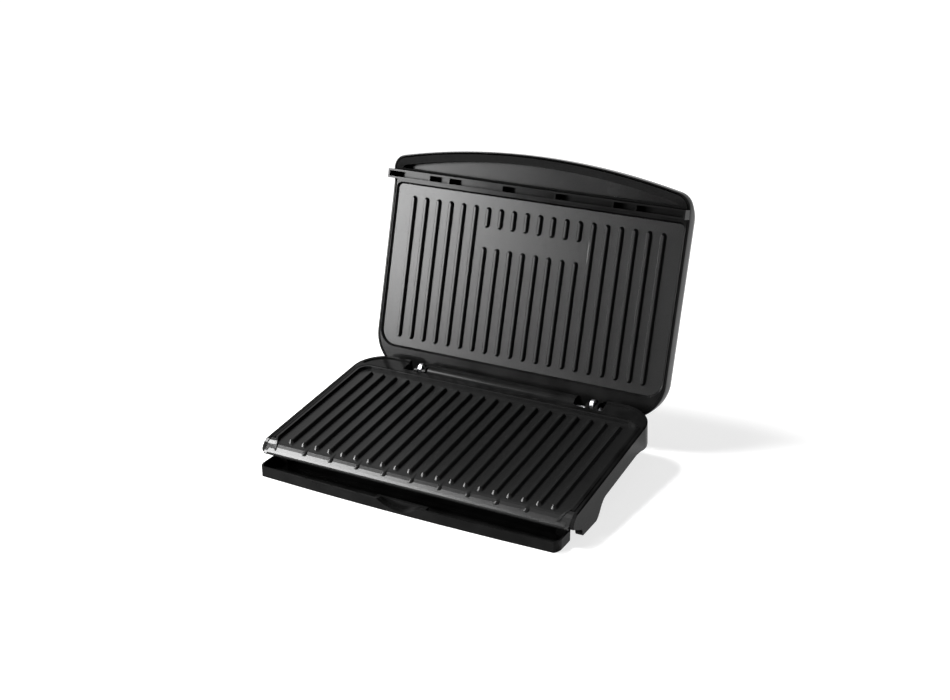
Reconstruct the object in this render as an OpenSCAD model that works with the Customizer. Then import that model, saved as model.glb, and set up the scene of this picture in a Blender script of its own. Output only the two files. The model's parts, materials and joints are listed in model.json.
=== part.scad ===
// Electric indoor grill with a hinged lid: an assembly of separate pieces.
// Millimetres, +Z up, front of the grill towards -Y.
// The origin lies on the table under the middle of the open grill.
// Pieces of the base are drawn in the frame of the sloping lower plate (on_plate).
// Pieces of the lid are drawn as if the lid were shut and are then swung open (on_lid).

/* [Plates] */
// Distance between two ridges
ridge_pitch = 16.5; // [15:0.1:18]
// Length of one ridge
ridge_len = 164; // [150:1:180]
// Height of the ridges above the plate
ridge_h = 4; // [3:0.1:5]
// Width of a ridge at its foot
ridge_w = 7; // [5:0.1:8]
// Thickness of the cast plates
plate_t = 4; // [3.5:0.1:4.5]

/* [Base] */
// Half of the width over the base
base_half = 185; // [182:0.5:190]
// Width of the side rail beside the lower plate
rail_w = 8.5; // [8:0.1:10]
// Depth of the base behind the lower plate
rear_deck = 30; // [28:0.5:34]
// Slope of the lower plate towards the drip tray
tilt = 6.4; // [5.5:0.1:7.5]
// Height of the front ends of the ridges above the table
plate_z = 33.5; // [33:0.1:36]
// Wall thickness of the mouldings
wall = 2.8; // [2.4:0.1:3]

/* [Lid] */
// Angle between the shut and the open lid
open_angle = 111.4; // [100:0.1:114]
// Overhang of the lid over each side of the base
lid_overhang = 0; // [-1:0.5:3]
// Height of the crown of the lid over its rim
lid_h = 48; // [44:0.5:56]
// Depth of the drip lip at the front of the lid
lip_depth = 17; // [12:0.5:17.5]
// Reach of the arched handle in front of the ridges
handle_reach = 68.3; // [60:0.1:72]
// Depth of the handle nose below the rim of the lid
nose_drop = 13; // [9:0.5:13.5]

/* [Hinge and tray] */
// Upward float of the lid for thick food
float_travel = 8; // [4:0.5:8]
// Diameter of the hinge rod
rod_d = 6; // [5:0.1:6.5]
// Height of the drip tray
tray_h = 12; // [9:0.5:12.5]

/* [Hidden] */
plate_y = -138;             // front ends of the ridges seen from the origin
shut_gap = 0.5;             // between the ridge crests of the shut grill
fit = 0.3;                  // clearance between pieces that are only placed together
run = 0.05;                 // radial running clearance of the hinge rod
pocket = 0.5;               // gap between the lower plate and the base rim around it
screw_d = 3;
head_d = 5.4;               // pan head of the screws
pipe_d = 6.6;               // sheath of the heating elements
lead_d = 2.4;               // insulated wire

// lower plate, in its own frame
low_half = base_half - rail_w;
low_rear = ridge_len + 14;
valley_z = -ridge_h;        // surface between the ridges
low_back = valley_z - plate_t;
apron_y = -20.7;            // front edge of the apron
apron_z = -10.4;
lip_w = 2.4;                // raised edge of the plate
lip_z = -0.4;               // top of that edge

// upper plate, shut
lid_half = base_half + lid_overhang;
up_half = lid_half - 6;
up_front = -15.5;
up_rear = low_rear - 1;
up_valley = shut_gap + ridge_h;
up_back = up_valley + plate_t;

// as many ridges as both plates have room for
ridge_room = min(low_half - 19.75, up_half - 22.25);
ridge_n = floor(2 * ridge_room / ridge_pitch + 0.001) + 1;

// base
base_rear = low_rear + rear_deck;
rim_z0 = -3;                // underside of the base rim
floor_top = -18;            // inside of the base floor
floor_t = 2;

// hinge
hinge_y = base_rear - 5.6;
hinge_z = -13.2;
notch_half = base_half - 59;    // cut-out for the hinge at the rear of the base
notch_y = hinge_y - 15.9;
arm_x = notch_half - 16;    // middle of the hinge arms
arm_w = 14;
slot_w = 5.4;               // slot of an arm around the hinge bracket
bracket_t = 4;
bracket_w = rod_d + 4.8;
bracket_flange = 2;         // sheet of its flange
tube_r = 13;
tube_x0 = 12 - arm_x;
tube_x1 = arm_x - 20;

// lid frame, shut
frame_z = shut_gap + 1;     // underside
frame_t = 2.5;
flange_z = up_back + 5.5;   // inner flange

base_shell();
base_rim();
base_floor();
rubber_feet();
lower_plate();
lower_element();
lower_reflector();
base_screws();
lower_plate_screws();
hinge_bracket_left();
hinge_bracket_right();
bracket_screws();
cord_gland();
terminal_block();
base_wiring();
hinge_rod();
rod_clips();
lid_cover();
lid_frame();
handle_lining();
hinge_tube();
upper_plate();
upper_element();
upper_reflector();
upper_plate_screws();
lid_screws();
thermostat();
thermal_fuse();
lid_wiring();
power_lamp();
ready_lamp();
drip_tray();

// ---------- frames and small helpers ----------

module on_plate() {
  translate([0, plate_y, plate_z]) rotate([tilt, 0, 0]) children();
}

module on_lid() {
  on_plate()
    translate([0, hinge_y, hinge_z])
      rotate([-open_angle, 0, 0])
        translate([0, -hinge_y, -hinge_z]) children();
}

// box between two corners
module box(a, b) {
  translate(a) cube([b[0] - a[0], b[1] - a[1], b[2] - a[2]]);
}

// vertical round bar from z0 to z1
module bar(x, y, z0, z1, d) {
  translate([x, y, z0]) cylinder(d = d, h = z1 - z0, $fn = 40);
}

// round bar along X
module bar_x(x0, x1, y, z, d) {
  translate([x0, y, z]) rotate([0, 90, 0]) cylinder(d = d, h = x1 - x0, $fn = 64);
}

// round bar along Y
module bar_y(x, y0, y1, z, d) {
  translate([x, y0, z]) rotate([-90, 0, 0]) cylinder(d = d, h = y1 - y0, $fn = 48);
}

// profile given in (y, z), drawn between x0 and x1
module along_x(x0, x1) {
  translate([x0, 0, 0]) rotate([90, 0, 90]) linear_extrude(x1 - x0) children();
}

// rectangle with front corners r0 and rear corners r1
module plan(half, y0, y1, r0, r1) {
  translate([-half, y0 + r0]) square([2 * half, y1 - y0 - r0 - r1]);
  translate([-half + r0, y0]) square([2 * (half - r0), r0 + 1]);
  translate([-half + r1, y1 - r1 - 1]) square([2 * (half - r1), r1 + 1]);
  for (s = [-1, 1]) {
    translate([s * (half - r0), y0 + r0]) circle(r = r0, $fn = 64);
    translate([s * (half - r1), y1 - r1]) circle(r = r1, $fn = 96);
  }
}

module mirror_pair() {
  children();
  mirror([1, 0, 0]) children();
}

function arc(cx, cy, r, a0, a1, n) =
  [for (i = [0:n]) let (a = a0 + (a1 - a0) * i / n) [cx + r * cos(a), cy + r * sin(a)]];

function ridge_x(i) = (i - (ridge_n - 1) / 2) * ridge_pitch;

// ---------- pieces of the base ----------

base_front = -18.5;
base_corner = 38;
cheek_half = base_half - 4;     // inside of the thin cheeks beside the apron
cheek_y = -3;                   // front end of the side rails between the cheeks
foot_in = low_half + pocket;    // inner face of the front feet
foot_x = base_half - 4.3;
foot_y = plate_y + 24;
leg_x = base_half - 40;         // legs at the rear, in world coordinates
leg_y = plate_y + base_rear - 18;
rim_boss_d = 5.4;               // bosses of the rim, inside the walls of the shell
post_x = base_half - wall - fit - rim_boss_d / 2;
base_posts = [[post_x, 52], [post_x, base_rear - 80], [base_half - 15.3, base_rear - 16.2]];
front_y = 6;                    // wall of the base behind the drip tray
gland_x = base_half - 20;
gland_y = base_rear - 58;
gland_d = 12;

shell_z0 = -26.7;               // lower edge of the rear walls
post_top = low_back - 0.4;      // joint between the posts of the shell and of the rim

module base_outline(inset) {
  plan(base_half - inset, base_front + inset, base_rear - inset, 3, base_corner - inset);
}

// lower edge of the walls in (y, z) of the plate: rear edge, arch, front foot, cheek
module wall_cut() {
  r = base_rear;
  along_x(-200, 200) polygon([[r + 52, shell_z0], [r - 34, shell_z0], [r - 42, -25.6], [r - 51, -22.6],
    [r - 62, -20.6], [62, -20.8], [57, -22.2], [52, -25.6], [48, -30], [43, -34.5], [38, -36.6],
    [34, -38], [34, -90], [r + 52, -90]]);
  along_x(-200, 200) polygon(concat([[-60, -11], [-18.2, -11], [-17, -12.2], [-13, -14.5],
    [-4, -20.4], [2, -23.4]], arc(14, -28, 10, 170, 270, 6), [[34, -38], [34, -90], [-60, -90]]));
}

// everything above the sloping front ends of the side rails
module nose_cut() {
  along_x(-200, 200) polygon([[-40, 5], [-3, 5], [-3, 0], [-7, -0.9], [-11, -3],
    [-14.5, -6.2], [-17.5, -9.6], [-18.2, -11.5], [-40, -11.5]]);
}

module notch() {
  box([-notch_half, notch_y, -60], [notch_half, 300, 20]);
}

// everything lower than z over the table
module cut_below(z) {
  translate([-300, -300, -60]) cube([600, 700, 60 + z]);
}

module base_shell() color([0.04, 0.04, 0.045]) {
  difference() {
    on_plate() {
      difference() {
        translate([0, 0, -50]) linear_extrude(50 + rim_z0) base_outline(0);
        // hollow behind the front feet
        translate([0, 0, -60]) linear_extrude(80) intersection() {
          base_outline(wall);
          translate([-300, 44]) square([600, 300]);
        }
        box([-foot_in, cheek_y - 1, -60], [foot_in, 60, 20]);
        box([-cheek_half, -40, -60], [cheek_half, cheek_y, 20]);
        wall_cut();
        nose_cut();
        notch();
      }
      notch_walls();
      box([-foot_in - 0.5, front_y, floor_top - floor_t],
        [foot_in + 0.5, front_y + wall, low_back - fit]);
      mirror_pair() for (p = base_posts) base_post(p);
    }
    cut_below(1.5);
    on_plate() mirror_pair() bracket_holes(screw_d + 0.1, notch_y - 7);
  }
}

module base_post(p) difference() {
  bar(p[0], p[1], floor_top, post_top, 8.6);
  bar(p[0], p[1], -30, 0, screw_d + 0.3);
}

// walls of the cut-out for the hinge, with a block behind each bracket
module notch_walls() {
  box([-notch_half - wall, notch_y - wall, shell_z0], [notch_half + wall, notch_y, rim_z0]);
  mirror_pair() {
    box([notch_half, notch_y - wall, shell_z0], [notch_half + wall, base_rear - 1, rim_z0]);
    box([arm_x - 13, notch_y - 6.9, floor_top], [arm_x + 3, notch_y - wall + 0.1, low_back - 1]);
  }
}

module base_rim() color([0.05, 0.05, 0.055]) on_plate() difference() {
  union() {
    translate([0, 0, rim_z0]) linear_extrude(-rim_z0 - 1.2) base_outline(0);
    translate([0, 0, -1.3]) linear_extrude(1.3) base_outline(1.2);
    mirror_pair() for (p = base_posts) bar(p[0], p[1], post_top, rim_z0 + 0.1, rim_boss_d);
  }
  // the deck behind the plate is lower than the raised outer edge
  translate([0, 0, rim_z0 + 1.6]) linear_extrude(5) difference() {
    base_outline(5);
    translate([-300, -60]) square([600, 60 + low_rear + 1.6]);
  }
  translate([0, 0, -30]) linear_extrude(60)
    plan(low_half + pocket, -1.5, low_rear + pocket, 1, 14 + pocket);
  box([-foot_in, cheek_y - 1, -30], [foot_in, 0, 20]);
  box([-cheek_half, -40, -30], [cheek_half, cheek_y, 20]);
  notch();
  nose_cut();
  // groove along the side rails
  mirror_pair() box([base_half - 5.2, -30, -0.8], [base_half - 4, base_rear - base_corner - 2, 1]);
  mirror_pair() for (p = base_posts) bar(p[0], p[1], post_top - 1, rim_z0 + 1, screw_d + 0.1);
}

module base_floor() color([0.06, 0.06, 0.065]) difference() {
  union() {
    on_plate() difference() {
      union() {
        translate([0, 0, floor_top - floor_t]) linear_extrude(floor_t) floor_outline();
        for (p = plate_bosses) bar(p[0], p[1], floor_top, -15.4, 12);
      }
      // slots that let air to the heating element
      for (i = [-5:5]) box([i * 16 - 3, base_rear - 96, -30], [i * 16 + 3, base_rear - 72, 0]);
      mirror_pair() for (p = base_posts) bar(p[0], p[1], -30, 0, screw_d + 0.3);
      for (p = plate_bosses) {
        bar(p[0], p[1], -30, floor_top, screw_d + 0.3);
        bar(p[0], p[1], floor_top, 0, 7.2);
      }
      bar(gland_x, gland_y, -40, 0, gland_d + 0.2);
    }
    rear_legs();
  }
}

module floor_outline() difference() {
  base_outline(wall + fit);
  translate([-300, -40]) square([600, 40 + front_y + wall + fit]);
  for (s = [-1, 1]) translate([s * (foot_in - fit + 10), 22]) square([20, 44 + 2 * fit], center = true);
  translate([-notch_half - wall - fit, notch_y - wall - fit])
    square([2 * (notch_half + wall + fit), 60]);
}

// two legs under the rear of the base, out of sight in the photo
module rear_legs() mirror_pair() difference() {
  translate([leg_x, leg_y, 2]) cylinder(d = 20, h = 45, $fn = 64);
  on_plate() box([-300, -50, floor_top - 0.5], [300, 300, 60]);
}

// soles of the two front feet and of the two rear legs
module rubber_feet() color([0.09, 0.09, 0.09]) mirror_pair() {
  translate([leg_x, leg_y, 0]) cylinder(d = 17, h = 2, $fn = 64);
  translate([foot_x, foot_y, 0]) cylinder(d = 7, h = 1.5, $fn = 48);
}

// ridge along +Y with round ends, foot at z = 0
module ridge(len) {
  rotate([90, 0, 180]) linear_extrude(len) polygon([[-ridge_w / 2, -0.2], [ridge_w / 2, -0.2],
    [1.9, ridge_h - 0.7], [1.1, ridge_h], [-1.1, ridge_h], [-1.9, ridge_h - 0.7]]);
  for (y = [0, len]) translate([0, y, -0.2])
    cylinder(r1 = ridge_w / 2, r2 = 1.1, h = ridge_h + 0.2, $fn = 32);
}

// pan head outside z_head, shank to z_tip
module screw(x, y, z_head, z_tip) {
  translate([x, y, z_head]) mirror([0, 0, z_tip > z_head ? 1 : 0])
    cylinder(d = head_d, h = 1.8, $fn = 32);
  bar(x, y, min(z_head, z_tip), max(z_head, z_tip), screw_d);
}

// ---------- heating elements ----------

low_loop_half = low_half - 46.5;
up_loop_half = up_half - 49;
loop_y0 = 20;
loop_y1 = low_rear - 40;
loop_r = 26;
tail_x = 20;
tail_r = 9;
tail_y = loop_y1 + tail_r + 4;
shield_t = 0.6;                 // sheet of the two reflectors
shield_cut = tail_x + 8;        // half of their cut-out around the two ends of the loop

// sheathed loop in the plane z = 0, open at the rear, with its two ends turned backwards
module loop(half, d) {
  mirror_pair() {
    bar_x(-0.01, half - loop_r, loop_y0, 0, d);
    translate([half - loop_r, loop_y0 + loop_r, 0]) bend(loop_r, -90, d);
    bar_y(half, loop_y0 + loop_r, loop_y1 - loop_r, 0, d);
    translate([half - loop_r, loop_y1 - loop_r, 0]) bend(loop_r, 0, d);
    bar_x(tail_x + tail_r, half - loop_r, loop_y1, 0, d);
    translate([tail_x + tail_r, loop_y1 + tail_r, 0]) bend(tail_r, 180, d);
    bar_y(tail_x, loop_y1 + tail_r, tail_y, 0, d);
  }
}

module bend(r, a0, d) {
  rotate([0, 0, a0]) rotate_extrude(angle = 90, $fn = 96) translate([r, 0]) circle(d = d, $fn = 48);
}

// band of metal around the loop, cast on the back of a plate
module loop_band(half, h) linear_extrude(h) difference() {
  plan(half + 5.5, loop_y0 - 5.5, loop_y1 + 5.5, loop_r + 5.5, loop_r + 5.5);
  plan(half - 5.5, loop_y0 + 5.5, loop_y1 - 5.5, loop_r - 5.5, loop_r - 5.5);
}

band_h = 3.2;
function low_loop_z() = low_back - band_h;
function up_loop_z() = up_back + band_h;

module element(half) {
  loop(half, pipe_d);
  mirror_pair() bar_y(tail_x, tail_y, tail_y + 5.5, 0, 2.2);
}

module lower_element() color([0.35, 0.34, 0.33]) on_plate()
  translate([0, 0, low_loop_z()]) element(low_loop_half);

module upper_element() color([0.35, 0.34, 0.33]) on_lid()
  translate([0, 0, up_loop_z()]) element(up_loop_half);

// ---------- lower plate ----------

boss_x = low_loop_half - 25;
plate_bosses = [[-boss_x, 32], [boss_x, 32], [-boss_x, low_rear - 19], [boss_x, low_rear - 19], [0, 90]];

module lower_plate() color([0.11, 0.11, 0.115]) on_plate() difference() {
  union() {
    translate([0, 0, low_back]) linear_extrude(plate_t) plan(low_half, -1, low_rear, 1, 14);
    translate([0, 0, low_back]) linear_extrude(lip_z - low_back) difference() {
      plan(low_half, -1, low_rear, 1, 14);
      plan(low_half - lip_w, -20, low_rear - lip_w, 1, 14 - lip_w);
    }
    for (i = [0:ridge_n - 1]) translate([ridge_x(i), 0, valley_z]) ridge(ridge_len);
    apron();
    // a drip bead at every second gap between the ridges
    for (i = [1:2:ridge_n - 3]) bead(ridge_x(i) + ridge_pitch / 2);
    translate([0, 0, low_back - band_h]) loop_band(low_loop_half, band_h + 0.1);
    for (p = plate_bosses) {
      bar(p[0], p[1], -14.8, low_back + 0.1, 12);
      bar(p[0], p[1], floor_top, -14.8, 6.9);
    }
  }
  translate([0, 0, low_loop_z()]) loop(low_loop_half, pipe_d + 0.2);
  for (p = plate_bosses) bar(p[0], p[1], -30, low_back + 0.5, screw_d + 0.1);
}

// rounded front edge over which the fat drains, with raised ends outside the two fins
apron_under = [[apron_y + 0.1, -11.8], [-19.8, -12.4], [-18.6, -11.9], [-14, -9.6], [-9, -8.3]];
fin_turn = 8.5;                 // how far a fin turns inwards along the apron
fin_end = -18.4;

module apron() {
  along_x(-low_half, low_half) polygon(concat([[0, valley_z], [-6, valley_z], [-9, -4.5],
    [-13, -5.9], [-17, -7.8], [-19.6, -9.3], [apron_y, apron_z]], apron_under, [[0, low_back]]));
  mirror_pair() {
    intersection() {
      along_x(100, cheek_half - 0.4) polygon(concat([[cheek_y - fit, -0.8], [-7, -1.8], [-11, -3.8],
        [-14.5, -6.5], [-17.5, -8.8], [apron_y, apron_z]], apron_under, [[cheek_y - fit, low_back]]));
      translate([0, 0, -30]) linear_extrude(40) polygon([[low_half - lip_w, 0], [low_half + 20, 0],
        [low_half + 20, -30], [low_half - lip_w - fin_turn, -30], [low_half - lip_w - fin_turn, fin_end]]);
    }
    intersection() {
      along_x(100, low_half) polygon([[0, low_back], [0, lip_z], [-3, lip_z - 0.1], [-7, -1.2],
        [-11, -3], [-14.5, -5.6], [fin_end, -9.2], [fin_end, -10.2], [-9, -6]]);
      translate([0, 0, -30]) linear_extrude(40) polygon([[low_half - lip_w, 0.5], [low_half, 0.5],
        [low_half - fin_turn, fin_end], [low_half - lip_w - fin_turn, fin_end]]);
    }
  }
}

// drop shaped bead low on the apron, pointing up to the plate
module bead(x) translate([x, -12, valley_z - 2.6]) {
  sphere(r = 3.2, $fn = 48);
  rotate([-79, 0, 0]) cylinder(r1 = 3.2, r2 = 1, h = 10.5, $fn = 48);
}

module lower_reflector() color([0.75, 0.75, 0.76]) on_plate() difference() {
  translate([0, 0, -15.4]) linear_extrude(shield_t) plan(low_loop_half + 20, 11, low_rear - 9, 8, 8);
  for (p = plate_bosses) bar(p[0], p[1], -20, 0, 7.2);
  box([-shield_cut, loop_y1 + 5, -20], [shield_cut, low_rear - 8, 0]);
}

module lower_plate_screws() color([0.7, 0.7, 0.72]) on_plate()
  for (p = plate_bosses) screw(p[0], p[1], floor_top - floor_t, low_back - 0.5);

module base_screws() color([0.7, 0.7, 0.72]) on_plate() mirror_pair()
  for (p = base_posts) screw(p[0], p[1], floor_top - floor_t, rim_z0 + 0.2);

module cord_gland() color([0.05, 0.05, 0.05]) on_plate() difference() {
  union() {
    bar(gland_x, gland_y, -31, floor_top + 3.5, gland_d);
    bar(gland_x, gland_y, -24, floor_top - floor_t, 16);
    bar(gland_x, gland_y, floor_top, floor_top + 3.5, 16);
  }
  bar(gland_x, gland_y, -40, 0, 7.5);
}

// block with three screw clamps beside the cut-out for the hinge
block_x = notch_half + 5.5;
block_y = notch_y - 2.5;
wire_z = floor_top + 2.5;

function clamp_x(i) = block_x + 4.5 + 8.5 * i;

module terminal_block() color([0.85, 0.84, 0.78]) on_plate() difference() {
  box([block_x, block_y, floor_top], [block_x + 26, block_y + 16, floor_top + 9]);
  for (i = [0:2]) {
    bar(clamp_x(i), block_y + 8, floor_top + 4, 0, 4.4);
    bar_y(clamp_x(i), block_y - 4, block_y + 26, wire_z, 3.2);
  }
}

// mains leads from the gland to the block and from the block to the lower element
module base_wiring() color([0.55, 0.1, 0.08]) on_plate() {
  end = [tail_x, tail_y + 7, low_loop_z()];
  in_y = block_y + 4;
  run_y = notch_y - 10.1;
  lead([[gland_x, gland_y, wire_z - 0.5], [gland_x, gland_y, -12.4], [gland_x, gland_y + 14, -12.8],
    [clamp_x(2), block_y - 10, wire_z + 0.1], [clamp_x(2), in_y, wire_z]]);
  lead([[clamp_x(1), in_y, wire_z], [clamp_x(1), run_y, wire_z - 0.1], [tail_x + 10, run_y - 0.2, wire_z],
    end]);
  lead([[clamp_x(0), in_y, wire_z], [clamp_x(0), block_y - 2.6, wire_z], [clamp_x(0) - 4, run_y, -12.6],
    [6 - tail_x, run_y, -12.6], end - [2 * tail_x, 0, 0]]);
}

// insulated wire through a row of points
module lead(points) {
  for (i = [0:len(points) - 2]) {
    v = points[i + 1] - points[i];
    translate(points[i]) rotate([0, acos(v[2] / norm(v)), atan2(v[1], v[0])])
      translate([0, 0, -0.4]) cylinder(d = lead_d, h = norm(v) + 0.8, $fn = 8);
  }
}

// ---------- hinge ----------

module bracket() difference() {
  union() {
    // strap with the slot in which the rod floats
    along_x(arm_x - bracket_t / 2, arm_x + bracket_t / 2) {
      polygon([[notch_y, -25], [hinge_y + bracket_w / 2, -25], [hinge_y + bracket_w / 2, strap_top()],
        [hinge_y - bracket_w / 2, strap_top()], [hinge_y - bracket_w / 2, -18.6], [notch_y, -18.6]]);
      translate([hinge_y, strap_top()]) circle(d = bracket_w, $fn = 64);
    }
    // flange screwed to the wall of the cut-out
    box([arm_x - 11.4, notch_y, -25], [arm_x + bracket_t / 2, notch_y + bracket_flange, -8.5]);
  }
  along_x(arm_x - 5, arm_x + 5) {
    translate([hinge_y, hinge_z]) circle(d = rod_d + 2 * run, $fn = 64);
    translate([hinge_y, hinge_z + float_travel]) circle(d = rod_d + 2 * run, $fn = 64);
    translate([hinge_y - rod_d / 2 - run, hinge_z]) square([rod_d + 2 * run, float_travel]);
  }
  bracket_holes(screw_d + 0.3, notch_y - 1);
}

function strap_top() = hinge_z + float_travel;

bracket_screw_x = arm_x - 7.5;
bracket_screw_z = [-10.9, -16];

// holes along Y from y0 backwards
module bracket_holes(d, y0) {
  for (z = bracket_screw_z) bar_y(bracket_screw_x, y0, notch_y + 5, z, d);
}

module hinge_bracket_left() color([0.78, 0.78, 0.8]) on_plate() mirror([1, 0, 0]) bracket();

module hinge_bracket_right() color([0.78, 0.78, 0.8]) on_plate() bracket();

module bracket_screws() color([0.7, 0.7, 0.72]) on_plate() mirror_pair()
  for (z = bracket_screw_z) {
    bar_y(bracket_screw_x, notch_y - 6.5, notch_y + bracket_flange, z, screw_d);
    bar_y(bracket_screw_x, notch_y + bracket_flange, notch_y + bracket_flange + 1.6, z, 4.6);
  }

rod_half = arm_x + 11;

module hinge_rod() color([0.8, 0.8, 0.82]) on_plate()
  bar_x(-rod_half, rod_half, hinge_y, hinge_z, rod_d);

module rod_clips() color([0.6, 0.6, 0.62]) on_plate() mirror_pair() difference() {
  bar_x(rod_half - 3, rod_half - 1.8, hinge_y, hinge_z, rod_d + 5);
  bar_x(rod_half - 4, rod_half, hinge_y, hinge_z, rod_d + 0.04);
}

// ---------- pieces of the lid, drawn shut ----------

lid_rear = base_rear - 1;
lid_corner = 45;
nose_corner = 18;
arch_r = 809;
arch_y = arch_r - handle_reach;
nose_cx = lid_half - nose_corner;
nose_cy = arch_y - sqrt(pow(arch_r - nose_corner, 2) - pow(nose_cx, 2));
nose_a = atan2(nose_cy - arch_y, nose_cx);
lip_y0 = -32;               // outer and inner faces of the drip lip
lip_y1 = -21.5;
lip_t = 2;
lip_rib_x = [-131, -105, -36, 30, 100, 127];
window_gap = 0.4;
frame_inset = wall + 0.4;   // of the lid frame inside the edge of the cover
lid_posts = [[lid_half - 19, 22], [lid_half - 19, lid_rear - 67], [70, lid_rear - 37]];
up_bosses = [[up_half - 9, 45], [up_half - 9, up_rear - 59], [90, up_rear - 8.5], [90, up_front + 8.5]];
shield_bosses = [[30 - up_loop_half, 62], [up_loop_half - 30, 62], [0, 105]];
lamp_x = 12;
lamp_y = 30;

// outline of the lid: straight sides, round rear corners, arched front
function lid_points(inset, front, rear) = concat(
  [for (p = arc(lid_half - lid_corner, lid_rear - lid_corner, lid_corner - inset, 90, 0, 10))
    [p[0], p[1] - (rear - inset)]],
  [for (p = arc(nose_cx, nose_cy, nose_corner - min(inset, 12), 0, nose_a, 6))
    [p[0] - max(inset - 12, 0), p[1] + front - min(inset, 12)]],
  [for (p = arc(0, arch_y, arch_r - min(inset, 12), nose_a, -90, 8))
    if (abs(p[0]) < nose_cx - max(inset - 12, 0) - 1) [p[0], p[1] + front - min(inset, 12)]]);

module lid_shape(inset, front, rear) {
  pts = lid_points(inset, front, rear);
  n = len(pts);
  polygon(concat(pts, [for (i = [n - 2:-1:0]) [-pts[i][0], pts[i][1]]]));
}

module lid_slab(z, inset, front, rear) {
  translate([0, 0, shut_gap + z]) linear_extrude(0.1) lid_shape(inset, front, rear);
}

// dome of the lid; d shrinks it by the wall thickness
module dome(d) {
  hull() {
    lid_slab(-30, d, d, d);
    lid_slab(8 - d, 0.2 + d, 1 + d, 0.6 + d);
    lid_slab(20 - d, 0.8 + d, 12 + d, 3 + d);
    lid_slab(lid_h - 16 - d, 5 + d, 28 + d, 8 + d);
    lid_slab(lid_h - 8 - d, 12 + d, 43 + d, 17 + d);
    lid_slab(lid_h - 2 - d, 29 + d, 65 + d, 34 + d);
    lid_slab(lid_h - 0.1 - d, 54 + d, 92 + d, 58 + d);
  }
}

// lower edge of the cover: flat under its sides, sloping down to the nose of the handle
foot_bend = -19;
function lid_foot(y) =
  shut_gap - nose_drop * max(0, foot_bend - max(y, -handle_reach)) / (handle_reach + foot_bend);

// space under the cover, a little higher at the rear, where the edge swings past the base
module under_lid() {
  along_x(-220, 220) polygon([[-120, -60], [250, -60], [250, shut_gap + 1.1],
    [lid_rear - 11, shut_gap + 1.1], [lid_rear - 15, shut_gap], [foot_bend, shut_gap],
    [-handle_reach, lid_foot(-handle_reach)], [-120, lid_foot(-120)]]);
}

module lid_cover() color([0.03, 0.03, 0.035]) on_lid() difference() {
  union() {
    difference() {
      dome(0);
      dome(wall);
    }
    intersection() {
      dome(1);
      mirror_pair() for (p = lid_posts) bar(p[0], p[1], flange_z + 2, 60, 9);
    }
  }
  under_lid();
  mirror_pair() for (p = lid_posts) bar(p[0], p[1], 0, flange_z + 14, screw_d + 0.1);
  for (s = [-1, 1]) bar(s * lamp_x, lamp_y, 20, 80, 8.2);
}

module window(grow) {
  plan(up_half + grow, up_front - grow, up_rear + grow, 5 + grow, 18 + grow);
}

// sloping edge of the frame around the plate
module bezel_cut() hull() for (s = [-1, 1]) {
  translate([s * (up_half - 5), up_front + 5, frame_z - 0.01])
    cylinder(r1 = 5 + window_gap + bezel_w, r2 = 5 + window_gap, h = frame_t, $fn = 32);
  translate([s * (up_half - 18), up_rear - 18, frame_z - 0.01])
    cylinder(r1 = 18 + window_gap + bezel_w, r2 = 18 + window_gap, h = frame_t, $fn = 32);
}

bezel_w = 2;
frame_wall = 1.6;

module lid_frame() color([0.05, 0.05, 0.055]) on_lid() difference() {
  union() {
    translate([0, 0, frame_z]) linear_extrude(frame_t) difference() {
      intersection() {
        lid_shape(frame_inset, frame_inset, frame_inset + 0.6);
        translate([-300, lip_y0]) square([600, 400]);
      }
      window(window_gap);
    }
    // wall and flange around the plate
    translate([0, 0, frame_z]) linear_extrude(flange_z + 2 - frame_z) difference() {
      window(window_gap + frame_wall);
      window(window_gap);
    }
    translate([0, 0, flange_z]) linear_extrude(2) difference() {
      window(window_gap + 1);
      plan(up_half - 18, up_front + 19.5, up_rear - 17, 4, 8);
    }
    drip_lip();
    mirror_pair() hinge_arm();
  }
  bezel_cut();
  mirror_pair() {
    for (p = lid_posts) bar(p[0], p[1], 0, 60, screw_d + 0.3);
    for (p = up_bosses) bar(p[0], p[1], 0, 60, screw_d + 0.3);
    bar_x(arm_x - 20, arm_x + 20, hinge_y, hinge_z, rod_d + 2 * run);
  }
  bar(lead_x, lead_y, -10, 10, 4);
}

// channel that hangs from the front of the lid and drips into the tray
module drip_lip() {
  half = lid_half - fit;
  inner = lid_half - frame_inset;
  z0 = shut_gap - lip_depth;
  for (y = [lip_y0, lip_y1 - lip_t])
    box([-inner, y, z0], [inner, y + lip_t, frame_z + frame_t]);
  for (x = lip_rib_x) box([x - 1, lip_y0 + 1, z0 + 3], [x + 1, lip_y1 - 1, frame_z + 0.2]);
  // ends, which stop under the side walls of the cover
  intersection() {
    along_x(-half, half) polygon([[lip_y0, z0], [lip_y1, z0], [lip_y1, lid_foot(lip_y1) - fit],
      [lip_y0, lid_foot(lip_y0) - fit]]);
    union() {
      for (y = [lip_y0, lip_y1 - lip_t]) box([-half, y, z0], [half, y + lip_t, frame_z]);
      mirror_pair() box([half - lip_t, lip_y0, z0], [half, lip_y1, frame_z]);
    }
  }
}

arm_r = 9.5;
stop_r = hinge_y - notch_y - fit;

// fork that straddles the bracket, with a lug that meets the wall when the lid is open
module hinge_arm() difference() {
  union() {
    along_x(arm_x - arm_w / 2, arm_x + arm_w / 2) {
      translate([hinge_y, hinge_z]) circle(r = arm_r, $fn = 64);
      translate([hinge_y - arm_r, hinge_z]) square([arm_r + 0.4, frame_z - hinge_z + 0.4]);
    }
    translate([0, hinge_y, hinge_z]) rotate([open_angle, 0, 0])
      box([arm_x + slot_w / 2, -stop_r, -6], [arm_x + arm_w / 2, 0, 2]);
  }
  box([arm_x - slot_w / 2, hinge_y - 30, -60], [arm_x + slot_w / 2, hinge_y + 30, frame_z]);
}

lead_x = 60;
lead_y = hinge_y - 3.9;

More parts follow.
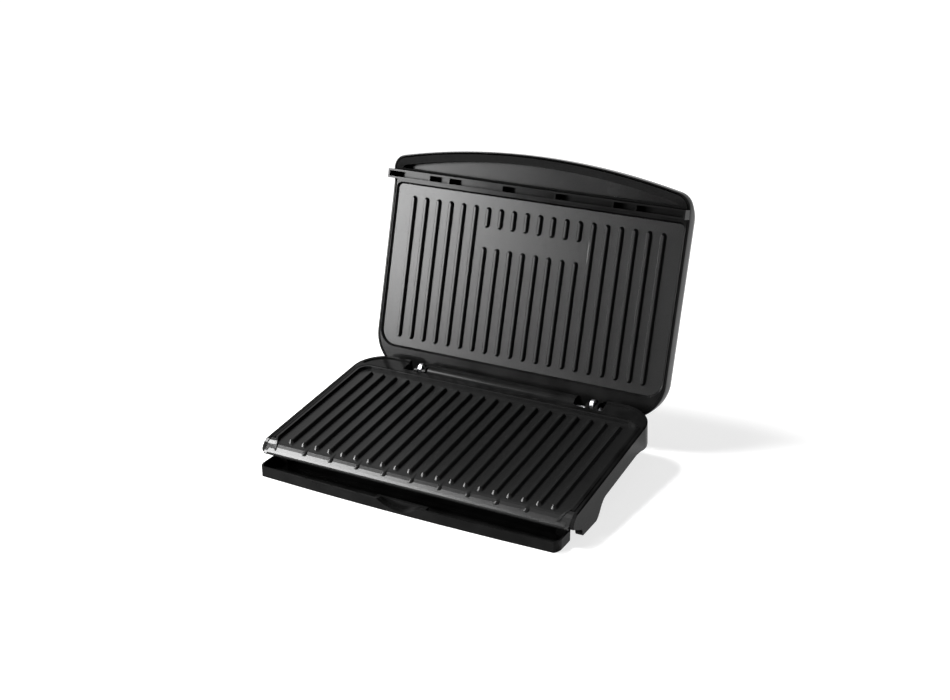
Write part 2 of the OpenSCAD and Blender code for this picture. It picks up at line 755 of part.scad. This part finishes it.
// hollow barrel around the rod, with the web that carries it under the lid frame
module hinge_tube() color([0.06, 0.06, 0.065]) on_lid() difference() {
  union() {
    bar_x(tube_x0, tube_x1, hinge_y, hinge_z, 2 * tube_r);
    box([tube_x0 + 4, hinge_y - 7.9, hinge_z + tube_r - 4], [tube_x1 - 4, hinge_y + 0.4, frame_z]);
  }
  bar_x(tube_x0 + 3, tube_x1 - 3, hinge_y, hinge_z, 2 * tube_r - 4.6);
  bar_x(tube_x0 - 1, tube_x1 + 1, hinge_y, hinge_z, rod_d + 2 * run);
  bar(lead_x, lead_y, hinge_z, 10, 4);
}

// ---------- upper plate ----------

// in the middle: short ridges at the front, a bare band, long ridges behind it
band_half = 4 * ridge_pitch;
band_y0 = 21;
band_y1 = 43;

module upper_plate() color([0.12, 0.12, 0.125]) on_lid() difference() {
  union() {
    translate([0, 0, up_valley]) linear_extrude(plate_t) window(0);
    for (i = [0:ridge_n - 1]) translate([ridge_x(i), 0, up_valley]) mirror([0, 0, 1]) {
      if (abs(ridge_x(i)) < band_half) {
        translate([0, ridge_w / 2 - 3, 0]) ridge(band_y0 - ridge_w / 2);
        translate([0, band_y1 + ridge_w / 2, 0]) ridge(ridge_len - band_y1 - ridge_w / 2);
      } else {
        ridge(ridge_len);
      }
    }
    translate([0, 0, up_back - 0.1]) loop_band(up_loop_half, band_h + 0.1);
    mirror_pair() for (p = up_bosses) bar(p[0], p[1], up_back - 0.1, flange_z, 8);
    for (p = shield_bosses) bar(p[0], p[1], up_back - 0.1, shield_z, 9);
  }
  translate([0, 0, up_loop_z()]) loop(up_loop_half, pipe_d + 0.2);
  mirror_pair() for (p = up_bosses) bar(p[0], p[1], up_back - 0.5, 40, screw_d + 0.1);
  for (p = shield_bosses) bar(p[0], p[1], up_back - 0.5, 40, screw_d + 0.1);
}

shield_z = up_back + band_h + pipe_d / 2 + fit;
stat_x = -45;
stat_y = 70;
fuse_x = 45;

module upper_reflector() color([0.75, 0.75, 0.76]) on_lid() difference() {
  translate([0, 0, shield_z]) linear_extrude(shield_t) plan(up_loop_half + 20, 8, up_rear - 22, 8, 8);
  for (p = shield_bosses) bar(p[0], p[1], 0, 60, screw_d + 0.3);
  bar(stat_x, stat_y, 0, 60, 20);
  box([-shield_cut, loop_y1 + 5, 0], [shield_cut, up_rear - 7, 60]);
}

module upper_plate_screws() color([0.7, 0.7, 0.72]) on_lid() {
  mirror_pair() for (p = up_bosses) screw(p[0], p[1], flange_z + 2, up_back);
  for (p = shield_bosses) screw(p[0], p[1], shield_z + shield_t, up_back);
}

module lid_screws() color([0.7, 0.7, 0.72]) on_lid() mirror_pair()
  for (p = lid_posts) screw(p[0], p[1], flange_z, flange_z + 12);

// snap-disc thermostat on the back of the upper plate
module thermostat() color([0.82, 0.8, 0.72]) on_lid() {
  bar(stat_x, stat_y, up_back, up_back + 2.5, 17);
  bar(stat_x, stat_y, up_back + 2.5, up_back + 10, 14);
  for (s = [-1, 1]) box([stat_x + s * 4 - 2, stat_y - 0.4, up_back + 9.8],
    [stat_x + s * 4 + 2, stat_y + 0.4, up_back + 15]);
}

// one-shot thermal cut-out in its clip on the heat shield
module thermal_fuse() color([0.8, 0.8, 0.82]) on_lid() {
  z = shield_z + shield_t;
  box([fuse_x - 7, stat_y - 4, z], [fuse_x + 7, stat_y + 4, z + 0.8]);
  bar_x(fuse_x - 8, fuse_x + 8, stat_y, z + 0.8 + 2.1, 4.4);
}

// leads of the lid: from the hinge barrel to thermostat, fuse, element and lamps
module lid_wiring() color([0.55, 0.1, 0.08]) on_lid() {
  z = up_back + 16.7;
  fuse_z = shield_z + 3.5;
  end = [tail_x, tail_y + 7, up_loop_z()];
  lead([[lead_x, lead_y, hinge_z + 6], [lead_x, lead_y, z - 7], [fuse_x + 14, up_rear - 5, z],
    [fuse_x + 13, stat_y + 10, z - 3], [fuse_x + 9.4, stat_y, fuse_z]]);
  lead([[fuse_x - 9.4, stat_y, fuse_z], [fuse_x - 18, stat_y, z], [stat_x + 14, stat_y, z + 3],
    [stat_x + 4, stat_y, z]]);
  lead([[stat_x - 4, stat_y, z], [stat_x - 12, stat_y + 10, z + 3], [-24, loop_y1 + 2, z],
    end + [-2 * tail_x, 0, 9], end - [2 * tail_x, 0, 0]]);
  lead([end, end + [0, 0, 9], [30, tail_y + 11, z - 3], [lead_x - 4, lead_y - 12, z - 2]]);
}

module lamp(x) translate([x, lamp_y, shut_gap + lid_h]) {
  translate([0, 0, -8]) cylinder(d = 8, h = 9, $fn = 48);
  translate([0, 0, -wall - 2.6]) cylinder(d = 11, h = 2.2, $fn = 48);
}

module power_lamp() color([0.8, 0.05, 0.03]) on_lid() lamp(-lamp_x);

module ready_lamp() color([0.1, 0.6, 0.15]) on_lid() lamp(lamp_x);

// concave underside of the handle, between the drip lip and the nose of the cover
module handle_lining() color([0.07, 0.07, 0.075]) on_lid() difference() {
  intersection() {
    dome(wall + fit);
    box([-200, -100, -40], [200, lip_y0 - fit, 11]);
  }
  translate([0, 0, -60]) linear_extrude(60 + 8.5) difference() {
    lid_shape(12, 12, 12);
    translate([-300, lip_y0 - fit - 2]) square([600, 400]);
  }
  under_lid();
}

// ---------- drip tray ----------

tray_half = base_half - 8;
tray_y0 = -38;              // middle of the bowed front, seen from the ridges
tray_bow = 4;
tray_y1 = -2;
tray_tail_half = foot_in - 14;
tray_y2 = 14;
tray_t = 2;

module tray_outline(d) {
  r = (pow(tray_half, 2) + pow(tray_bow, 2)) / (2 * tray_bow);
  intersection() {
    plan(tray_half - d, tray_y0 + d, tray_y1 - d, 14 - d, 3 - d);
    translate([0, tray_y0 + r]) circle(r = r - d, $fn = 720);
  }
  translate([-tray_tail_half + d, -10]) square([2 * (tray_tail_half - d), tray_y2 + 10 - d]);
}

module drip_tray() color([0.03, 0.03, 0.035]) translate([0, plate_y, 0.5]) difference() {
  union() {
    difference() {
      linear_extrude(tray_h - 0.5) tray_outline(0);
      translate([0, 0, tray_t]) linear_extrude(60) tray_outline(tray_t);
    }
    // thick wall behind the finger recess
    box([-30, tray_y0 + 1, 0], [30, tray_y0 + 10, tray_h - 1]);
  }
  translate([0, tray_y0 - 5, tray_h - 9 + 45]) rotate([-90, 0, 0]) cylinder(r = 45, h = 12, $fn = 180);
}
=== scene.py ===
"""Looks of the electric indoor grill: materials, rounded edges, a smooth lid cover, floor and lamps.

Metres, Z up, front of the grill towards -Y, lid open at rest. The lid cover is drawn in millimetres.
"""

import json
import math

import bmesh
import bpy
from mathutils import Matrix, Vector


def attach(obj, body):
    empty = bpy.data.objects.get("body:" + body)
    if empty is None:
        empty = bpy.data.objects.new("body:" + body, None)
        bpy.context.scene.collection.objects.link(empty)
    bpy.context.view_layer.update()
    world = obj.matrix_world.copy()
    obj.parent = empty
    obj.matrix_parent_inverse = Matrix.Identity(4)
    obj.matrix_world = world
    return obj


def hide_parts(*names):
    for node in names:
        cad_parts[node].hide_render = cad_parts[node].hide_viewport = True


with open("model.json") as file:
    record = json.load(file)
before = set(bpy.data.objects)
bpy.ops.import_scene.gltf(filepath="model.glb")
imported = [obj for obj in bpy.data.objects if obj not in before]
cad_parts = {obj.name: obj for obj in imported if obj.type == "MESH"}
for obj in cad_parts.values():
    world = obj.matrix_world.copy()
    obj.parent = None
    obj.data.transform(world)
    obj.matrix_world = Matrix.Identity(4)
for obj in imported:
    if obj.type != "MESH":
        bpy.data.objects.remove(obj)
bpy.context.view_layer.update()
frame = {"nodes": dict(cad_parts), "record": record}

MM = 0.001

# Main sizes of the grill, in millimetres and degrees, as in the solid model.
PLATE_Y = -138.0        # front ends of the ribs
PLATE_Z = 33.5
TILT = 6.4              # slope of the lower plate
HINGE_Y = 202.4         # hinge axis in the frame of the lower plate
HINGE_Z = -13.2
OPEN_ANGLE = 111.4
SHUT_GAP = 0.5          # between the rib crests of the shut grill
LID_HALF = 185.0
LID_REAR = 207.0
LID_CORNER = 45.0       # radius of the rear corners
NOSE_CORNER = 18.0      # radius of the corners beside the handle
HANDLE_REACH = 68.3     # from the ribs' front ends to the tip of the handle
NOSE_DROP = 13.0        # how far the lid's edge falls towards that tip
FOOT_BEND = -19.0       # where it begins to fall
ARCH_R = 809.0          # radius of the front edge, seen from above
WALL = 2.8

# Smooth cover of the lid, in millimetres and numbers of points or rings.
CROWN_H = 47.7          # middle of the dome
CROWN_Y = 70.0
CROWN_SHARES = (0.75, 0.5, 0.25)    # sizes of the rings that close the crown
REAR_STRIP = 15.0       # along the rear the edge is higher by REAR_LIFT
REAR_LIFT = 1.1
REAR_RUN = 4.0          # length of the slope up to it
EDGE_BLEND = 8.0        # from the edge up to this height the rings follow its slope less and less
CORNER_STEPS = 24
SIDE_POINTS = 9         # along a straight side, SIDE_STEP apart
SIDE_STEP = 20.0
NOSE_STEPS = 14
ARCH_STEPS = 26
LEVEL_STEPS = 6         # rings from one row of COVER_LEVELS to the next
INNER_SKIP = 4          # lowest of these rings, which the inner wall leaves out
SHARP_ANGLE = 40.0      # edges sharper than this, in degrees, keep a hard shade

# Rows: height over the edge, then how far sides, front and rear are pulled in.
COVER_LEVELS = [
    (1.2, 0.15, 0.5, 0.5),
    (8, 0.2, 1.0, 0.6),
    (20, 1.0, 12.5, 3.0),
    (32, 5.0, 29, 8),
    (40, 12, 44, 17),
    (44.9, 25, 62, 30.3),
    (47.0, 45, 84, 50),
    (47.6, 74, 110, 80),
]
EDGE_LEVELS = [
    (0, 1.05, 1.4, 1.4),
    (0.3, 0.4, 0.75, 0.75),
]
INNER_EDGE = (0, 2.2, 2.2, 2.2)

# Rounding of the visible solids, in millimetres and degrees.
SOFTENED = {
    "base_rim": 0.9,
    "base_shell": 0.5,
    "base_floor": 0.4,
    "lower_plate": 0.7,
    "upper_plate": 0.7,
    "lid_frame": 0.4,
    "handle_lining": 0.4,
    "drip_tray": 1.0,
    "hinge_tube": 0.6,
    "hinge_bracket_left": 0.3,
    "hinge_bracket_right": 0.3,
}
FLAT_ANGLE = 0.6        # faces that differ by less become one
ROUND_ANGLE = 32.0      # edges sharper than this are rounded
ROUND_SEGMENTS = 2

# Noise values between which a colour or a roughness goes from its first value to its second.
COLOR_SPAN = (0.35, 0.65)
ROUGHNESS_SPAN = (0.3, 0.7)
COAT_ROUGHNESS = 0.08
EVEN = (1, 1, 1)        # stretch of a noise without streaks

# The picture is 950 x 700; lens and pose come from fitting the edges and ends of the ribs.
LENS = 53.51            # millimetres, as the sensor
SENSOR = 36
VIEW_END = 50           # metres
CAMERA_AT = (0.66546, -1.26197, 0.70181)
CAMERA_TURN = (67.7465, 0.0, 27.9764)

FLOOR_SIZE = 14         # metres
FLOOR_GLOW = 0.75       # light that the floor under the grill adds of its own where it is seen
FLOOR_GLOW_TO = 0.3     # metres from the grill up to which it keeps that value
FLOOR_WHITE_AT = 1.0    # metres from the grill where the floor has become plain white
AMBIENT = 0.12          # strength of the light from all round

# Rows: name, place, point it faces, width and height, power in watts, spread in degrees.
LAMPS = [
    # low on the left, mirrored by the left part of the upper plate
    ("left", (-1.66, -1.75, 0.66), (-0.40, -0.07, 0.2), (1.05, 0.9), 8, 28),
    # far to the left, mirrored by the left edges of the ribs
    ("edge", (-1.75, -0.45, 0.3), (0, 0.05, 0.17), (0.9, 0.6), 4, 30),
    # high on the left, mirrored by the apron
    ("top", (-1.55, -0.4, 2.0), (0, 0, 0), (1.1, 0.8), 11, 34),
]


# ---------- frames ----------

def plate_frame():
    """From the frame of the lower plate to the grill, in millimetres."""
    return Matrix.Translation((0, PLATE_Y, PLATE_Z)) @ Matrix.Rotation(math.radians(TILT), 4, "X")


def lid_frame():
    """From the frame of the shut lid to the open lid."""
    to_axis = Matrix.Translation((0, HINGE_Y, HINGE_Z))
    swing = Matrix.Rotation(math.radians(-OPEN_ANGLE), 4, "X")
    return plate_frame() @ to_axis @ swing @ to_axis.inverted()


# ---------- materials ----------

def grey(value):
    """Colour without a hue."""
    return (value, value, value)


def new_material(name, color, roughness, metallic=0.0, coat=0.0, specular=0.5):
    """Material with constants on the shader's own sockets; returns it with its tree and shader."""
    mat = bpy.data.materials.new(name)
    mat.use_nodes = True
    tree = mat.node_tree
    shader = tree.nodes["Principled BSDF"]
    shader.inputs["Base Color"].default_value = (*color, 1)
    shader.inputs["Roughness"].default_value = roughness
    shader.inputs["Metallic"].default_value = metallic
    shader.inputs["Specular IOR Level"].default_value = specular
    shader.inputs["Coat Weight"].default_value = coat
    shader.inputs["Coat Roughness"].default_value = COAT_ROUGHNESS
    return mat, tree, shader


def add_noise(tree, scale, detail, stretch=EVEN):
    """Noise over the object's own coordinates, in cycles per metre."""
    coords = tree.nodes.new("ShaderNodeTexCoord")
    mapping = tree.nodes.new("ShaderNodeMapping")
    mapping.inputs["Scale"].default_value = stretch
    noise = tree.nodes.new("ShaderNodeTexNoise")
    noise.inputs["Scale"].default_value = scale
    noise.inputs["Detail"].default_value = detail
    tree.links.new(coords.outputs["Object"], mapping.inputs["Vector"])
    tree.links.new(mapping.outputs["Vector"], noise.inputs["Vector"])
    return noise.outputs["Fac"]


def vary_color(tree, shader, fac, dark, light):
    """Colour that goes from dark to light with the noise."""
    ramp = tree.nodes.new("ShaderNodeValToRGB")
    for element, position, color in zip(ramp.color_ramp.elements, COLOR_SPAN, (dark, light)):
        element.position = position
        element.color = (*color, 1)
    tree.links.new(fac, ramp.inputs["Fac"])
    tree.links.new(ramp.outputs["Color"], shader.inputs["Base Color"])


def vary_roughness(tree, shader, fac, low, high):
    """Roughness that goes from low to high with the noise."""
    spread = tree.nodes.new("ShaderNodeMapRange")
    spread.inputs["From Min"].default_value = ROUGHNESS_SPAN[0]
    spread.inputs["From Max"].default_value = ROUGHNESS_SPAN[1]
    spread.inputs["To Min"].default_value = low
    spread.inputs["To Max"].default_value = high
    tree.links.new(fac, spread.inputs["Value"])
    tree.links.new(spread.outputs["Result"], shader.inputs["Roughness"])


def add_bump(tree, shader, fac, strength, distance):
    """Relief that follows the noise, its depth in metres."""
    bump = tree.nodes.new("ShaderNodeBump")
    bump.inputs["Strength"].default_value = strength
    bump.inputs["Distance"].default_value = distance
    tree.links.new(fac, bump.inputs["Height"])
    tree.links.new(bump.outputs["Normal"], shader.inputs["Normal"])


def nonstick():
    """Sprayed non-stick coat: satin, faintly grained, with darker and lighter specks."""
    mat, tree, shader = new_material("nonstick_coat", grey(0.004), 0.25, specular=0.12)
    vary_color(tree, shader, add_noise(tree, 2600, 2), grey(0.003), grey(0.006))
    vary_roughness(tree, shader, add_noise(tree, 14, 3), 0.245, 0.265)
    add_bump(tree, shader, add_noise(tree, 1500, 2), 0.12, 0.0002)
    return mat


def gloss_black():
    """Polished black moulding with the faint wave of a moulded surface."""
    mat, tree, shader = new_material("gloss_black_plastic", grey(0.003), 0.14, specular=0.045)
    vary_color(tree, shader, add_noise(tree, 40, 2), grey(0.002), grey(0.004))
    vary_roughness(tree, shader, add_noise(tree, 22, 4), 0.12, 0.18)
    add_bump(tree, shader, add_noise(tree, 90, 1), 0.06, 0.0004)
    return mat


def satin_black():
    """Fine-textured black moulding of the sides, floor and handle lining."""
    mat, tree, shader = new_material("satin_black_plastic", grey(0.004), 0.24, specular=0.05)
    vary_color(tree, shader, add_noise(tree, 700, 2), grey(0.003), grey(0.005))
    vary_roughness(tree, shader, add_noise(tree, 30, 3), 0.21, 0.28)
    add_bump(tree, shader, add_noise(tree, 1800, 2), 0.1, 0.0002)
    return mat


def metal(name, dark, light, low, high, scale, stretch):
    """Drawn, brushed or plated metal: one noise for colour, roughness (low to high) and relief."""
    mat, tree, shader = new_material(name, light, (low + high) / 2, metallic=1.0)
    streaks = add_noise(tree, scale, 4, stretch)
    vary_color(tree, shader, streaks, dark, light)
    vary_roughness(tree, shader, streaks, low, high)
    add_bump(tree, shader, streaks, 0.08, 0.0002)
    return mat


def soft_rubber():
    """Dull dark rubber of the feet and the gland."""
    mat, tree, shader = new_material("dark_rubber", grey(0.02), 0.8)
    vary_color(tree, shader, add_noise(tree, 300, 3), grey(0.015), grey(0.03))
    add_bump(tree, shader, add_noise(tree, 900, 3), 0.25, 0.0003)
    return mat


def cream_ceramic():
    """Pale insulating body of the terminal block and the thermostat."""
    mat, tree, shader = new_material("cream_ceramic", (0.7, 0.66, 0.55), 0.5)
    vary_color(tree, shader, add_noise(tree, 500, 3), (0.62, 0.58, 0.48), (0.72, 0.69, 0.6))
    add_bump(tree, shader, add_noise(tree, 1200, 2), 0.12, 0.0002)
    return mat


def silicone_wire():
    """Red insulation of the leads."""
    mat, tree, shader = new_material("silicone_wire", (0.4, 0.05, 0.04), 0.45)
    vary_color(tree, shader, add_noise(tree, 200, 2), (0.32, 0.035, 0.03), (0.42, 0.06, 0.045))
    add_bump(tree, shader, add_noise(tree, 800, 2), 0.1, 0.0002)
    return mat


def lens(name, dark, light):
    """Coloured lens of a lamp, glossy and unlit."""
    mat, tree, shader = new_material(name, light, 0.12, coat=0.5)
    vary_color(tree, shader, add_noise(tree, 350, 2), dark, light)
    add_bump(tree, shader, add_noise(tree, 700, 1), 0.1, 0.0003)
    return mat


def all_materials():
    """One material for each slot of the record."""
    return {
        "satin_black_shell": satin_black(),
        "gloss_black_plastic": gloss_black(),
        "nonstick": nonstick(),
        "steel": metal("bright_steel", (0.3, 0.3, 0.31), (0.42, 0.42, 0.43), 0.28, 0.4, 90, (1, 1, 14)),
        "zinc_screw": metal("zinc_plate", (0.38, 0.38, 0.4), (0.52, 0.52, 0.55), 0.25, 0.38, 700, EVEN),
        "sheath": metal("element_sheath", (0.10, 0.09, 0.085), (0.2, 0.18, 0.17), 0.45, 0.6, 300, EVEN),
        "shield": metal("shield_sheet", (0.6, 0.6, 0.61), (0.75, 0.75, 0.76), 0.25, 0.4, 120, (12, 1, 1)),
        "rubber": soft_rubber(),
        "ceramic": cream_ceramic(),
        "wire": silicone_wire(),
        "red_lens": lens("red_lens", (0.35, 0.01, 0.008), (0.6, 0.02, 0.015)),
        "green_lens": lens("green_lens", (0.01, 0.25, 0.05), (0.03, 0.45, 0.09)),
    }


# ---------- solids ----------

def soften(obj, width):
    """Joins the flat triangles of a solid, rounds its sharp edges and smooths its shading."""
    flat = obj.modifiers.new("join_flat", "DECIMATE")
    flat.decimate_type = "DISSOLVE"
    flat.angle_limit = math.radians(FLAT_ANGLE)
    bevel = obj.modifiers.new("round_edges", "BEVEL")
    bevel.width = width * MM
    bevel.segments = ROUND_SEGMENTS
    bevel.limit_method = "ANGLE"
    bevel.angle_limit = math.radians(ROUND_ANGLE)
    bevel.harden_normals = True
    normals = obj.modifiers.new("even_shading", "WEIGHTED_NORMAL")
    normals.keep_sharp = True


def dress_nodes(materials):
    """Gives every solid its finish, and the visible ones rounded edges."""
    for entry in frame["record"]["subparts"]:
        obj = frame["nodes"][entry["node"]]
        material = materials[entry["material_slot"]]
        if not obj.data.materials:
            obj.data.materials.append(material)
        for slot in obj.material_slots:
            slot.material = material
        if entry["node"] in SOFTENED:
            soften(obj, SOFTENED[entry["node"]])


# ---------- lid cover ----------

def clamp(value):
    """Value held between 0 and 1."""
    return min(max(value, 0.0), 1.0)


def arc_points(cx, cy, r, start, end, count):
    """Points of an arc from one angle to another, both ends included."""
    step = (end - start) / count
    angles = [math.radians(start + step * i) for i in range(count + 1)]
    return [(cx + r * math.cos(a), cy + r * math.sin(a)) for a in angles]


def half_outline():
    """Right half of the lid's outline, from the rear corner to the middle of the front."""
    corner_x = LID_HALF - LID_CORNER
    corner_y = LID_REAR - LID_CORNER
    arch_y = ARCH_R - HANDLE_REACH
    nose_x = LID_HALF - NOSE_CORNER
    nose_y = arch_y - math.sqrt((ARCH_R - NOSE_CORNER) ** 2 - nose_x ** 2)
    nose_angle = math.degrees(math.atan2(nose_y - arch_y, nose_x))
    points = arc_points(corner_x, corner_y, LID_CORNER, 90, 0, CORNER_STEPS)
    points += [(LID_HALF, corner_y - SIDE_STEP * (k + 1)) for k in range(SIDE_POINTS)]
    points += arc_points(nose_x, nose_y, NOSE_CORNER, 0, nose_angle, NOSE_STEPS)
    points += arc_points(0, arch_y, ARCH_R, nose_angle, -90, ARCH_STEPS)[1:]
    return points


def lid_outline(side, front, rear):
    """Closed outline of the lid, pulled in by side, front and rear, always with as many points."""
    length = LID_REAR + HANDLE_REACH
    points = []
    for x, y in half_outline():
        along = (y + HANDLE_REACH) / length
        pulled_y = front - HANDLE_REACH + along * (length - front - rear)
        points.append((x * (LID_HALF - side) / LID_HALF, pulled_y))
    return points + [(-x, y) for x, y in reversed(points[:-1])]


def smooth_steps(table, per_span):
    """Catmull-Rom curve through rows of numbers."""
    rows = []
    count = len(table)
    for i in range(count - 1):
        a = table[max(i - 1, 0)]
        b = table[i]
        c = table[i + 1]
        d = table[min(i + 2, count - 1)]
        for k in range(per_span):
            t = k / per_span
            rows.append([
                0.5 * (2 * q + (r - p) * t + (2 * p - 5 * q + 4 * r - s) * t * t
                       + (3 * q - p - 3 * r + s) * t ** 3)
                for p, q, r, s in zip(a, b, c, d)
            ])
    rows.append(list(table[-1]))
    return rows


def edge_height(y):
    """Height of the lid's edge: raised at the rear, flat, then falling towards the handle's tip."""
    if y < FOOT_BEND:
        return -NOSE_DROP * (FOOT_BEND - y) / (HANDLE_REACH + FOOT_BEND)
    return REAR_LIFT * clamp((y - (LID_REAR - REAR_STRIP)) / REAR_RUN)


def cover_ring(mesh, level, shrink=0.0, follow=None):
    """One ring of the cover; follow says how much of the edge's slope it takes, from 0 to 1."""
    z, side, front, rear = level
    if follow is None:
        follow = 1.0 - clamp(z / EDGE_BLEND)
    ring = []
    for x, y in lid_outline(side + shrink, front + shrink, rear + shrink):
        height = z + edge_height(y) * follow
        ring.append(mesh.verts.new((x, y, height + SHUT_GAP)))
    return ring


def bridge(mesh, lower, upper):
    """Four-sided faces between two rings of as many points."""
    count = len(lower)
    for i in range(count):
        j = (i + 1) % count
        mesh.faces.new((lower[i], lower[j], upper[j], upper[i]))


def close_crown(mesh, rim):
    """Closes the top ring with smaller rings at the height of the crown."""
    outline = [(vert.co.x, vert.co.y) for vert in rim]
    last = rim
    for share in CROWN_SHARES:
        ring = []
        for x, y in outline:
            crown_y = CROWN_Y + (y - CROWN_Y) * share
            ring.append(mesh.verts.new((x * share, crown_y, CROWN_H + SHUT_GAP)))
        bridge(mesh, last, ring)
        last = ring
    mesh.faces.new(last)


def cover_mesh():
    """Shell of the lid: rounded edge, smooth dome, plain inner wall."""
    mesh = bmesh.new()
    levels = smooth_steps(COVER_LEVELS, LEVEL_STEPS)
    outer = [cover_ring(mesh, level, follow=1.0) for level in EDGE_LEVELS]
    outer += [cover_ring(mesh, level) for level in levels]
    for lower, upper in zip(outer, outer[1:]):
        bridge(mesh, lower, upper)
    close_crown(mesh, outer[-1])
    inner = [cover_ring(mesh, INNER_EDGE, follow=1.0)]
    for z, side, front, rear in levels[INNER_SKIP:]:
        inner.append(cover_ring(mesh, (z - WALL, side, front, rear), shrink=WALL))
    for lower, upper in zip(inner, inner[1:]):
        bridge(mesh, upper, lower)
    mesh.faces.new(list(reversed(inner[-1])))
    bridge(mesh, inner[0], outer[0])
    bmesh.ops.recalc_face_normals(mesh, faces=mesh.faces)
    return mesh


def add_piece(name, mesh, matrix, body, material):
    """Puts a mesh drawn in millimetres into the scene and on its body."""
    bmesh.ops.transform(mesh, matrix=Matrix.Scale(MM, 4) @ matrix, verts=mesh.verts)
    data = bpy.data.meshes.new(name)
    mesh.to_mesh(data)
    mesh.free()
    obj = bpy.data.objects.new(name, data)
    bpy.context.scene.collection.objects.link(obj)
    data.materials.append(material)
    for face in data.polygons:
        face.use_smooth = True
    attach(obj, body)
    return obj


def add_lid_cover(material):
    """Smooth dome in place of the faceted cover of the solid model."""
    obj = add_piece("lid_dome", cover_mesh(), lid_frame(), "lid", material)
    obj.data.set_sharp_from_angle(angle=math.radians(SHARP_ANGLE))
    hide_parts("lid_cover")


# ---------- room ----------

def add_math(tree, operation, first, second):
    """Maths node over two sockets; returns its result."""
    node = tree.nodes.new("ShaderNodeMath")
    node.operation = operation
    tree.links.new(first, node.inputs[0])
    tree.links.new(second, node.inputs[1])
    return node.outputs[0]


def seen_directly(tree):
    """1 for rays from the camera, from reflections and through clear pieces, else 0."""
    path = tree.nodes.new("ShaderNodeLightPath")
    total = path.outputs["Is Camera Ray"]
    for kind in ("Is Glossy Ray", "Is Transmission Ray"):
        total = add_math(tree, "MAXIMUM", total, path.outputs[kind])
    return total


def pale_floor():
    """White floor that takes shadows and turns into plain white away from the grill."""
    mat, tree, shader = new_material("pale_floor", grey(0.4), 0.7, specular=0.1)
    vary_color(tree, shader, add_noise(tree, 3, 2), grey(0.39), grey(0.41))
    coords = tree.nodes.new("ShaderNodeTexCoord")
    away = tree.nodes.new("ShaderNodeVectorMath")
    away.operation = "LENGTH"
    tree.links.new(coords.outputs["Object"], away.inputs[0])
    glow = tree.nodes.new("ShaderNodeMapRange")
    glow.interpolation_type = "SMOOTHSTEP"
    glow.inputs["From Min"].default_value = FLOOR_GLOW_TO
    glow.inputs["From Max"].default_value = FLOOR_WHITE_AT
    glow.inputs["To Min"].default_value = FLOOR_GLOW
    glow.inputs["To Max"].default_value = 1.0
    tree.links.new(away.outputs["Value"], glow.inputs["Value"])
    strength = add_math(tree, "MULTIPLY", glow.outputs["Result"], seen_directly(tree))
    shader.inputs["Emission Color"].default_value = (1, 1, 1, 1)
    tree.links.new(strength, shader.inputs["Emission Strength"])
    return mat


def add_floor():
    """Wide floor under the grill, which isn't part of it."""
    bpy.ops.mesh.primitive_plane_add(size=FLOOR_SIZE, location=(0, 0, 0))
    floor = bpy.context.object
    floor.name = "floor"
    floor.data.materials.append(pale_floor())


def add_world():
    """Dim light from all round, seen as the same white as the far floor."""
    world = bpy.data.worlds.new("studio")
    bpy.context.scene.world = world
    world.use_nodes = True
    tree = world.node_tree
    strength = tree.nodes.new("ShaderNodeMath")
    strength.operation = "MAXIMUM"
    strength.inputs[1].default_value = AMBIENT
    tree.links.new(seen_directly(tree), strength.inputs[0])
    back = tree.nodes["Background"]
    back.inputs["Color"].default_value = (1, 1, 1, 1)
    tree.links.new(strength.outputs[0], back.inputs["Strength"])


def add_lamp(name, place, target, size, power, spread):
    """Rectangular area lamp that faces a point."""
    data = bpy.data.lights.new(name, "AREA")
    data.shape = "RECTANGLE"
    data.size, data.size_y = size
    data.energy = power
    data.spread = math.radians(spread)
    lamp = bpy.data.objects.new(name, data)
    bpy.context.scene.collection.objects.link(lamp)
    lamp.location = place
    direction = Vector(target) - Vector(place)
    lamp.rotation_euler = direction.to_track_quat("-Z", "Y").to_euler()


def add_camera():
    """Camera with the view of the picture."""
    data = bpy.data.cameras.new("camera")
    data.lens = LENS
    data.sensor_width = SENSOR
    data.clip_end = VIEW_END
    camera = bpy.data.objects.new("camera", data)
    camera.location = CAMERA_AT
    camera.rotation_euler = [math.radians(a) for a in CAMERA_TURN]
    bpy.context.scene.collection.objects.link(camera)
    bpy.context.scene.camera = camera


# ---------- scene ----------

materials = all_materials()
dress_nodes(materials)
add_lid_cover(materials["gloss_black_plastic"])
add_floor()
add_world()
for lamp_row in LAMPS:
    add_lamp(*lamp_row)
add_camera()
bpy.context.scene.view_settings.view_transform = "Standard"
